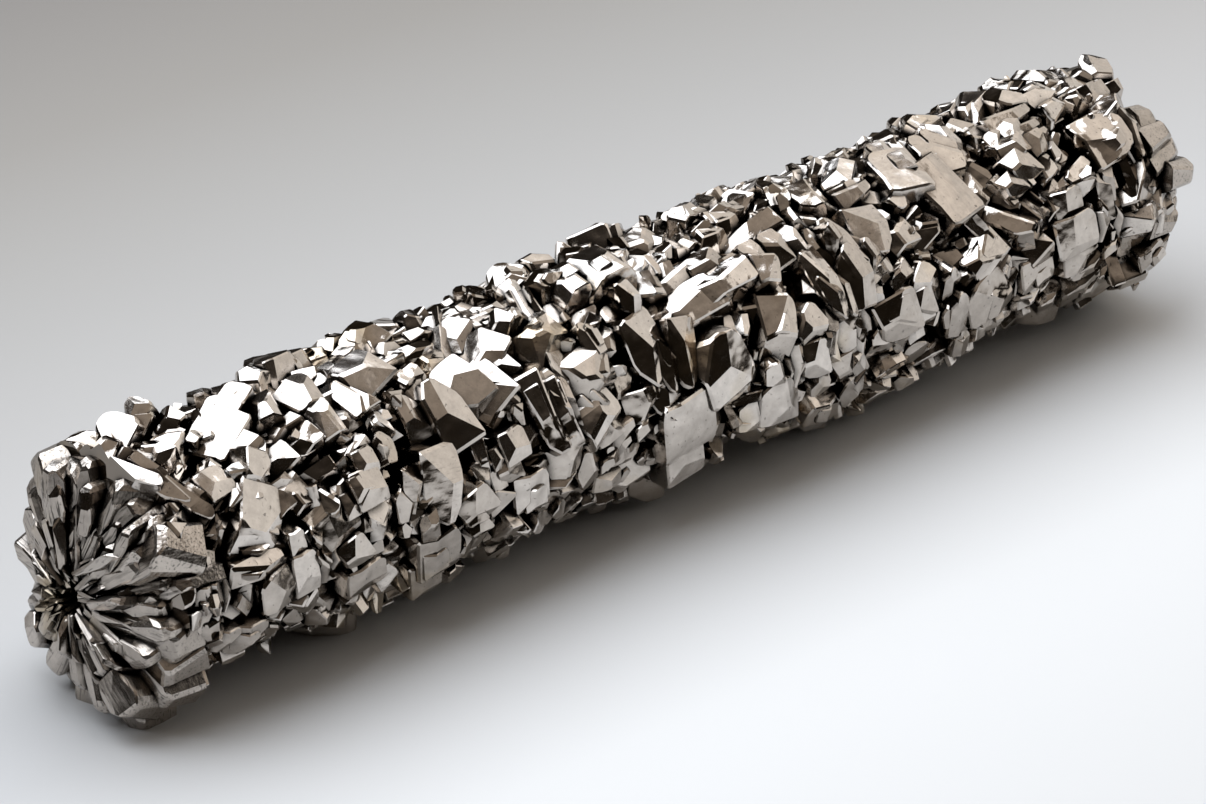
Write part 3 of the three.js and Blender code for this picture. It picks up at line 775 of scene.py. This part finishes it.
# small crystals that fill the gaps, most of them parallel to the nearest large one
small = {
    "count": 980,
    "length": bar["length"] - 2,
    "drift": 3,
    "wander": 20,
    "width": (0.8, 2.3),
    "longer": (1, 1.9),
    "height": 4,
    "lift": (-0.3, -1.8),
    "teethBelow": -0.3,  # lower down on the bar than this share of its radius they stand out more
    "teethLift": 0.8,
    "parallel": 0.75,
    "seed": 7703,
}
numbers = seededNumbers(small["seed"])
for i in range(small["count"]):
    at = station, angle = spiralPlace(i, small, numbers)
    width = between(numbers, small["width"])
    length = width * between(numbers, small["longer"])
    lift = between(numbers, small["lift"])
    if math.sin(math.radians(angle)) < small["teethBelow"]:
        lift += small["teethLift"]
    lean = spreadVector(numbers)
    _, grown, spin, habit = min(grownAt, key=lambda other: apart(other[0], at))
    if next(numbers) > small["parallel"]:
        grown = (outwards(angle) + lean).normalized()
        spin = 180 * next(numbers)
        habit = anyHabit(numbers)
    if inValley(at):
        continue
    size = (width, length, small["height"])
    place = crystalPlace(station, angle, *size, grown, spin, lift)
    growCrystal(sideCrystals, habit, place, size, newTone(toneNumbers), "small")

# rings of radial blades at a broken end: count, inner and outer radius, width, lowest and highest stand
# against the face, dip towards the hub in degrees, and grade
endRings = [
    (32, 6.4, 12.8, 3.6, (-2, -0.1), 0, "large"),
    (38, 4.6, 10.8, 2.5, (-1.6, -0.1), 0, "large"),
    (54, 2.4, 8.2, 1.4, (-1.3, -0.3), 6, "small"),
    (64, 1, 5.2, 0.65, (-1.4, -0.5), 16, "small"),
    (36, 0.4, 2.8, 0.42, (-2.2, -1), 30, "small"),
]
ends = {
    "near": {
        "side": -1,
        "hub": (1.2, -2),  # off the axis by y and z
        "back": 2.6,  # side crystals end this far behind the hub
        "recede": 0.15,  # and this much further for each mm towards the rim
        "slope": (2, 16),  # the blades' slopes, in degrees
        "leans": [(-62, 42, -9), (182, 24, 8), (132, 20, -4)],  # changes of slope: angle, reach, degrees
        "hollow": (80, 18, 1),  # angle, half width in degrees and depth
        "lowerReach": 0.16,  # how much further the rim stands out underneath
        "seed": 311,
    },
    "far": {
        "side": 1,
        "hub": (-1, 1),
        "back": 2.4,
        "recede": 0.1,
        "slope": (-2, 14),
        "leans": [(-34, 30, 8), (64, 18, 9), (14, 14, -6)],
        "hollow": (58, 22, 2.2),
        "lowerReach": 0,
        "seed": 947,
    },
}
endBlade = {
    "crowd": 0.7,  # how unevenly the blades of a ring stand
    "widths": (0.55, 1.45),  # shares of the ring's own
    "outers": (0.88, 1.03),
    "inners": (0.6, 1.4),
    "depth": 5,
    "twist": 56,  # degrees
    "skew": 18,
    "tint": 0.58,  # darker, duller and more lined than the side crystals
    "dullness": 0.5,
    "lines": (0.65, 0.55),
}


def growEnd(collection, end):
    numbers = seededNumbers(end["seed"])
    away = Vector((end["side"], 0, 0))
    hub = Vector((0, *end["hub"]))
    hollowAt, hollowWide, hollowDeep = end["hollow"]
    for count, ringInner, ringOuter, ringWidth, ringStand, dip, grade in endRings:
        for i in range(count):
            angle = (i + endBlade["crowd"] * next(numbers)) / count * 360
            width = ringWidth * between(numbers, endBlade["widths"])
            outer = ringOuter * between(numbers, endBlade["outers"])
            outer *= 1 + end["lowerReach"] * max(0, -math.sin(math.radians(angle)))
            inner = ringInner * between(numbers, endBlade["inners"])
            stand = between(numbers, ringStand)
            stand -= hollowDeep * bell(turnBetween(angle, hollowAt), hollowWide)
            slope = between(numbers, end["slope"]) - dip
            for at, reach, lean in end["leans"]:
                slope += lean * bell(turnBetween(angle, at), reach)
            twist = math.radians(spread(numbers, endBlade["twist"]))
            skew = math.radians(spread(numbers, endBlade["skew"]))
            foot = outwards(angle) * inner + hub * (1 - inner / bar["radius"])
            tip = outwards(angle) * outer + hub * max(0, 1 - outer / bar["radius"])
            out = (tip - foot).normalized()
            tilt = Matrix.Rotation(math.radians(slope), 3, away.cross(out))
            leant, along = tilt @ away, tilt @ out
            middle = tilt @ ((foot + tip) / 2) + leant * (stand - endBlade["depth"] / 2)
            middle += Vector((end["side"] * bar["length"] / 2, 0, bar["axisHeight"]))
            turn = Matrix((along, leant.cross(along), leant)).transposed()
            turn = turn @ Matrix.Rotation(skew, 3, "Z") @ Matrix.Rotation(twist, 3, "X")
            size = ((tip - foot).length, width, endBlade["depth"])
            place = Matrix.Translation(middle) @ turn.to_4x4()
            tint, dullness, lines = newTone(numbers)
            lines = endBlade["lines"][0] + endBlade["lines"][1] * lines
            tone = [tint * endBlade["tint"], dullness + endBlade["dullness"], lines]
            growCrystal(collection, "blade", place, size, tone, grade)


for end in ends.values():
    growEnd(endBlades, end)


# the solid that the crystals stand on
def modelCore():
    deselectAll()
    bpy.ops.mesh.primitive_cylinder_add(
        vertices=bar["coreSides"],
        radius=bar["coreRadius"] / 1000,
        depth=(bar["length"] - 2 * bar["coreShort"]) / 1000,
        location=(0, 0, bar["axisHeight"] / 1000),
        rotation=(0, math.pi / 2, 0),
    )
    bpy.ops.object.transform_apply(location=True, rotation=True, scale=True)
    core = bpy.context.object
    core.name = "crystal_bar_surface"
    return core


def joinCollection(piece, collection):
    join = piece.modifiers.new("join", "BOOLEAN")
    join.operation = "UNION"
    join.solver = "MANIFOLD"
    join.operand_type = "COLLECTION"
    join.collection = collection
    bpy.context.view_layer.objects.active = piece
    bpy.ops.object.modifier_apply(modifier=join.name)
    for other in list(collection.objects):
        mesh = other.data
        bpy.data.objects.remove(other)
        bpy.data.meshes.remove(mesh)
    bpy.data.collections.remove(collection)


def applyBoolean(piece, operation, other):
    change = piece.modifiers.new("change", "BOOLEAN")
    change.operation = operation
    change.solver = "MANIFOLD"
    change.object = other
    bpy.context.view_layer.objects.active = piece
    bpy.ops.object.modifier_apply(modifier=change.name)
    bpy.data.objects.remove(other)


# a wide drum with a blunt cone at both ends, which the side crystals are broken off to
drum = {"sides": 48, "wider": 2.4}


def modelDrum():
    deselectAll()
    wide = drum["wider"] * bar["radius"]
    rims = {}
    for name, end in ends.items():
        rims[name] = end["side"] * (bar["length"] / 2 - end["back"] - wide * end["recede"])
    bpy.ops.mesh.primitive_cylinder_add(
        vertices=drum["sides"],
        radius=wide / 1000,
        depth=(rims["far"] - rims["near"]) / 1000,
        location=((rims["far"] + rims["near"]) / 2000, 0, bar["axisHeight"] / 1000),
        rotation=(0, math.pi / 2, 0),
    )
    bpy.ops.object.transform_apply(location=True, rotation=True, scale=True)
    drumPiece = bpy.context.object
    for end in ends.values():
        bpy.ops.object.mode_set(mode="EDIT")
        bpy.ops.mesh.select_mode(type="FACE")
        bpy.ops.mesh.select_all(action="DESELECT")
        edit = bmesh.from_edit_mesh(drumPiece.data)
        for face in edit.faces:  # the flat end, which is the one face with many corners
            face.select_set(face.normal.x * end["side"] > 0.9 and len(face.verts) > 4)
        bmesh.update_edit_mesh(drumPiece.data)
        bpy.ops.mesh.poke(offset=wide * end["recede"] / 1000)
        bpy.ops.object.mode_set(mode="OBJECT")
    return drumPiece


# a block that is far larger than the bar, below the floor
def modelGround():
    deselectAll()
    reach = 4 * bar["length"] / 1000
    bpy.ops.mesh.primitive_cube_add(size=reach, location=(0, 0, -reach / 2))
    bpy.ops.object.transform_apply(location=True, rotation=True, scale=True)
    return bpy.context.object


crystalBar = modelCore()
joinCollection(crystalBar, sideCrystals)
applyBoolean(crystalBar, "INTERSECT", modelDrum())
joinCollection(crystalBar, endBlades)
applyBoolean(crystalBar, "DIFFERENCE", modelGround())
for model in models.values():
    bpy.data.objects.remove(model)
print("crystals joined:", len(crystalBar.data.polygons), "faces")


# keeps the outer skin and drops the walls of pockets that crystals closed off
def keepOuterSkin(piece):
    deselectAll()
    piece.select_set(True)
    bpy.context.view_layer.objects.active = piece
    bpy.ops.object.mode_set(mode="EDIT")
    bpy.ops.mesh.select_all(action="SELECT")
    bpy.ops.mesh.separate(type="LOOSE")
    bpy.ops.object.mode_set(mode="OBJECT")
    parts = sorted(bpy.context.selected_objects, key=lambda part: -len(part.data.polygons))
    for part in parts[1:]:
        bpy.data.objects.remove(part)
    parts[0].name = "crystal_bar_surface"
    return parts[0]


crystalBar = keepOuterSkin(crystalBar)
triangles = sum(len(face.vertices) - 2 for face in crystalBar.data.polygons)
deselectAll()
crystalBar.select_set(True)
bpy.context.view_layer.objects.active = crystalBar
bpy.ops.object.shade_smooth_by_angle(angle=math.radians(bar["smoothBelow"]))
print("outer skin kept:", triangles, "triangles")

# bare titanium: bright, slightly warm, each crystal a little different
# the inner dictionaries are the inputs of nodes
titanium = {
    "tones": [
        (0.0, (0.33, 0.295, 0.26)),
        (0.3, (0.475, 0.43, 0.385)),
        (0.65, (0.57, 0.52, 0.47)),
        (1.0, (0.64, 0.595, 0.55)),
    ],
    "straw": (0.6, 0.47, 0.28),  # tarnish in a few places
    "strawPatches": {"Scale": 110, "Detail": 3},
    "strawShare": {"From Min": 0.6, "From Max": 0.75, "To Max": 0.5},
    "clouds": {"Scale": 0.9, "Detail": 5, "Roughness": 0.65},
    "cloudShade": {"From Min": 0.35, "From Max": 0.65, "To Min": 0.89, "To Max": 1.08},
    "pits": {"Scale": 2.2, "Detail": 3},
    "pitShade": {"From Min": 0.65, "From Max": 0.73, "To Min": 1, "To Max": 0.45},
    "stretch": {"Scale": (2.6, 0.12, 2.6)},  # growth lines and cracks run along a crystal's y
    "lines": {"Scale": 1, "Detail": 1},
    "lineShare": {"From Min": 0.5},
    "cracks": {"Scale": 1.7, "Detail": 2.5},
    "crackShade": {"From Min": 0.56, "From Max": 0.64, "To Min": 1, "To Max": 0.22},
    "paintedShadeColour": (0.014, 0.012, 0.01),  # painted shade: near black, deep in the gaps between the crystals
    "paintedShadeReach": {"Distance": 0.0012},
    "paintedShadeShare": {"From Min": 0.5, "From Max": 0.92},
    "gloss": {"To Min": 0.05, "To Max": 0.28},
    "waves": {"Scale": 0.35, "Detail": 1.5},
    "waveShare": {"From Min": 0.4, "From Max": 0.6, "To Min": 1, "To Max": 0.3},  # dull crystals have fewer
    "waveHeight": {"Distance": 0.0003},
    "lineHeight": {"Distance": 0.000036},
    "cloudHeight": {"Distance": 0.000016},
}


def newMaterial(name):
    material = bpy.data.materials.new(name)
    material.use_nodes = True
    return material, material.node_tree.nodes, material.node_tree.links


def newNode(nodes, kind, inputs=()):
    node = nodes.new("ShaderNode" + kind)
    for socket, value in dict(inputs).items():
        node.inputs[socket].default_value = value
    return node


def newColourMix(nodes, blend="MIX"):
    mix = newNode(nodes, "Mix")
    mix.data_type = "RGBA"
    mix.blend_type = blend
    return mix


def setStops(ramp, stops):
    elements = ramp.color_ramp.elements
    elements.remove(elements[0])
    elements[0].position, elements[0].color = stops[-1][0], (*stops[-1][1], 1)
    for position, colour in stops[:-1]:
        elements.new(position).color = (*colour, 1)


def makeTitanium():
    material, nodes, links = newMaterial("grown titanium")
    shader = nodes["Principled BSDF"]
    shader.inputs["Metallic"].default_value = 1.0

    def addNoise(part, vector):
        noise = newNode(nodes, "TexNoise", titanium[part])
        links.new(vector, noise.inputs["Vector"])
        return noise.outputs["Fac"]

    def addRange(part, value):
        mapped = newNode(nodes, "MapRange", titanium[part])
        links.new(value, mapped.inputs["Value"])
        return mapped.outputs["Result"]

    def addProduct(first, second):
        product = newNode(nodes, "Math")
        product.operation = "MULTIPLY"
        links.new(first, product.inputs[0])
        links.new(second, product.inputs[1])
        return product.outputs["Value"]

    def addBump(part, height):
        bump = newNode(nodes, "Bump", titanium[part])
        links.new(height, bump.inputs["Height"])
        return bump

    # a crystal's own axes, and its tint, dullness and growth lines
    lattice = newNode(nodes, "Attribute")
    lattice.attribute_name = "lattice"
    axes = lattice.outputs["Vector"]
    tones = newNode(nodes, "Attribute")
    tones.attribute_name = "grain"
    toneParts = newNode(nodes, "SeparateXYZ")
    links.new(tones.outputs["Vector"], toneParts.inputs[0])
    dullness = toneParts.outputs["Y"]
    lineShare = addRange("lineShare", toneParts.outputs["Z"])

    tint = newNode(nodes, "ValToRGB")
    setStops(tint, titanium["tones"])
    links.new(toneParts.outputs["X"], tint.inputs["Fac"])
    place = newNode(nodes, "TexCoord")
    tarnish = newColourMix(nodes)
    tarnish.inputs["B"].default_value = (*titanium["straw"], 1)
    patches = addNoise("strawPatches", place.outputs["Object"])
    links.new(addRange("strawShare", patches), tarnish.inputs["Factor"])
    links.new(tint.outputs["Color"], tarnish.inputs["A"])

    # cloudy shade and fine pits on every face, and dark cracks along the lined crystals
    clouds = addNoise("clouds", axes)
    stretch = newNode(nodes, "Mapping", titanium["stretch"])
    links.new(axes, stretch.inputs["Vector"])
    cracked = newNode(nodes, "Mix", {"A": 1})
    links.new(lineShare, cracked.inputs["Factor"])
    cracks = addNoise("cracks", stretch.outputs["Vector"])
    links.new(addRange("crackShade", cracks), cracked.inputs["B"])
    pitted = addProduct(cracked.outputs["Result"], addRange("pitShade", addNoise("pits", axes)))
    shaded = newColourMix(nodes, "MULTIPLY")
    shaded.inputs["Factor"].default_value = 1
    links.new(tarnish.outputs["Result"], shaded.inputs["A"])
    links.new(addProduct(addRange("cloudShade", clouds), pitted), shaded.inputs["B"])

    # painted shade: the gaps between crystals are darkened in the base colour where the ambient occlusion
    # finds them closed in
    openness = newNode(nodes, "AmbientOcclusion", titanium["paintedShadeReach"])
    openness.samples = 8
    openness.only_local = True
    paintedCreviceShade = newColourMix(nodes)
    paintedCreviceShade.inputs["A"].default_value = (*titanium["paintedShadeColour"], 1)
    links.new(addRange("paintedShadeShare", openness.outputs["AO"]), paintedCreviceShade.inputs["Factor"])
    links.new(shaded.outputs["Result"], paintedCreviceShade.inputs["B"])
    links.new(paintedCreviceShade.outputs["Result"], shader.inputs["Base Color"])
    links.new(addRange("gloss", dullness), shader.inputs["Roughness"])

    # slow waves over each face, growth lines along some crystals and a fine grain
    waves = addBump("waveHeight", addNoise("waves", axes))
    links.new(addRange("waveShare", dullness), waves.inputs["Strength"])
    lines = addBump("lineHeight", addNoise("lines", stretch.outputs["Vector"]))
    links.new(lineShare, lines.inputs["Strength"])
    links.new(waves.outputs["Normal"], lines.inputs["Normal"])
    fine = addBump("cloudHeight", clouds)
    links.new(lines.outputs["Normal"], fine.inputs["Normal"])
    links.new(fine.outputs["Normal"], shader.inputs["Normal"])
    return material


crystalBar.data.materials.clear()
crystalBar.data.materials.append(makeTitanium())
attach(crystalBar, "root")
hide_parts("crystal_bar")
print("titanium finish on")

# the floor, in metres, with painted light falloff in its colour: palest in front of the bar, greyer behind
# it and painted dark far away
floor = {
    "size": 6.0,
    "roughness": 0.6,
    "specular": 0.2,
    "depth": {"From Min": -0.06, "From Max": 0.16},
    # painted light falloff from the front of the bar to the back
    "tones": [
        (0.0, (0.735, 0.745, 0.745)),
        (0.1, (0.73, 0.74, 0.74)),
        (0.24, (0.555, 0.56, 0.56)),
        (0.45, (0.45, 0.445, 0.435)),
        (0.58, (0.375, 0.368, 0.354)),
        (0.76, (0.285, 0.272, 0.252)),
        (1.0, (0.208, 0.196, 0.184)),
    ],
    # painted dark far away, which the metal reflects as a dark horizon
    "dark": (0.1, 0.095, 0.09),
    "paintedFalloffReach": {"From Min": 0.17, "From Max": 0.42},
}


def makeFloor():
    deselectAll()
    bpy.ops.mesh.primitive_plane_add(size=floor["size"])
    plane = bpy.context.object
    plane.name = "floor"
    material, nodes, links = newMaterial("floor with painted falloff")
    shader = nodes["Principled BSDF"]
    shader.inputs["Roughness"].default_value = floor["roughness"]
    shader.inputs["Specular IOR Level"].default_value = floor["specular"]
    place = newNode(nodes, "TexCoord")
    parts = newNode(nodes, "SeparateXYZ")
    links.new(place.outputs["Object"], parts.inputs[0])
    # painted light falloff: the colour runs from pale in front of the bar to grey behind it, then is
    # painted dark with distance
    depth = newNode(nodes, "MapRange", floor["depth"])
    links.new(parts.outputs["Y"], depth.inputs["Value"])
    shade = newNode(nodes, "ValToRGB")
    setStops(shade, floor["tones"])
    links.new(depth.outputs["Result"], shade.inputs["Fac"])
    away = newNode(nodes, "VectorMath")
    away.operation = "LENGTH"
    links.new(place.outputs["Object"], away.inputs[0])
    distance = newNode(nodes, "MapRange", floor["paintedFalloffReach"])
    links.new(away.outputs["Value"], distance.inputs["Value"])
    paintedDarkFar = newColourMix(nodes)
    paintedDarkFar.inputs["B"].default_value = (*floor["dark"], 1)
    links.new(distance.outputs["Result"], paintedDarkFar.inputs["Factor"])
    links.new(shade.outputs["Color"], paintedDarkFar.inputs["A"])
    links.new(paintedDarkFar.outputs["Result"], shader.inputs["Base Color"])
    plane.data.materials.append(material)


makeFloor()

# soft lights, in metres and watts
lights = [
    {
        "name": "overhead softbox",
        "at": (-0.035, 0.105, 0.27),
        "size": (0.43, 0.36),
        "power": 1.57,
        "tint": (0.93, 0.99, 1.08),
    },
    {
        "name": "right card",
        "at": (0.41, -0.06, 0.26),
        "size": (0.9, 0.5),
        "power": 1.25,
        "tint": (1, 0.96, 0.91),
    },
]


def addLight(light):
    data = bpy.data.lights.new(light["name"], "AREA")
    data.shape = "RECTANGLE"
    data.size, data.size_y = light["size"]
    data.energy = light["power"]
    data.color = light["tint"]
    lamp = bpy.data.objects.new(light["name"], data)
    bpy.context.scene.collection.objects.link(lamp)
    lamp.location = light["at"]
    lamp.rotation_euler = Vector(light["at"]).to_track_quat("Z", "Y").to_euler()  # towards the bar


for light in lights:
    addLight(light)

# the room round it: dark near the horizon, lighter overhead
room = [
    (0.0, (0.01, 0.0075, 0.005)),
    (0.3, (0.018, 0.014, 0.01)),
    (0.5, (0.048, 0.04, 0.033)),
    (0.7, (0.24, 0.2, 0.165)),
    (1.0, (0.46, 0.395, 0.335)),
]


def makeRoom():
    world = bpy.data.worlds.new("studio")
    bpy.context.scene.world = world
    world.use_nodes = True
    nodes, links = world.node_tree.nodes, world.node_tree.links
    direction = newNode(nodes, "TexCoord")
    parts = newNode(nodes, "SeparateXYZ")
    links.new(direction.outputs["Generated"], parts.inputs[0])
    height = newNode(nodes, "ValToRGB")
    setStops(height, room)
    links.new(parts.outputs["Z"], height.inputs["Fac"])
    links.new(height.outputs["Color"], nodes["Background"].inputs["Color"])


makeRoom()
bpy.context.scene.view_settings.view_transform = "Standard"
print("floor and lights set")

# the photograph's view: a long lens from the front left, in mm and degrees
view = {
    "target": (-4, 0, 9.8),
    "azimuth": -43.2,
    "elevation": 26,
    "distance": 528,
    "lens": 161.2,
    "sensor": 36,
    "nearest": 10,
}


def addCamera():
    azimuth, elevation = math.radians(view["azimuth"]), math.radians(view["elevation"])
    level = math.cos(elevation)
    back = Vector((math.sin(azimuth) * level, -math.cos(azimuth) * level, math.sin(elevation)))
    data = bpy.data.cameras.new("camera")
    data.lens = view["lens"]
    data.sensor_width = view["sensor"]
    data.clip_start = view["nearest"] / 1000
    camera = bpy.data.objects.new("camera", data)
    bpy.context.scene.collection.objects.link(camera)
    camera.location = (Vector(view["target"]) + back * view["distance"]) / 1000
    camera.rotation_euler = back.to_track_quat("Z", "Y").to_euler()
    bpy.context.scene.camera = camera


addCamera()
print("camera set")
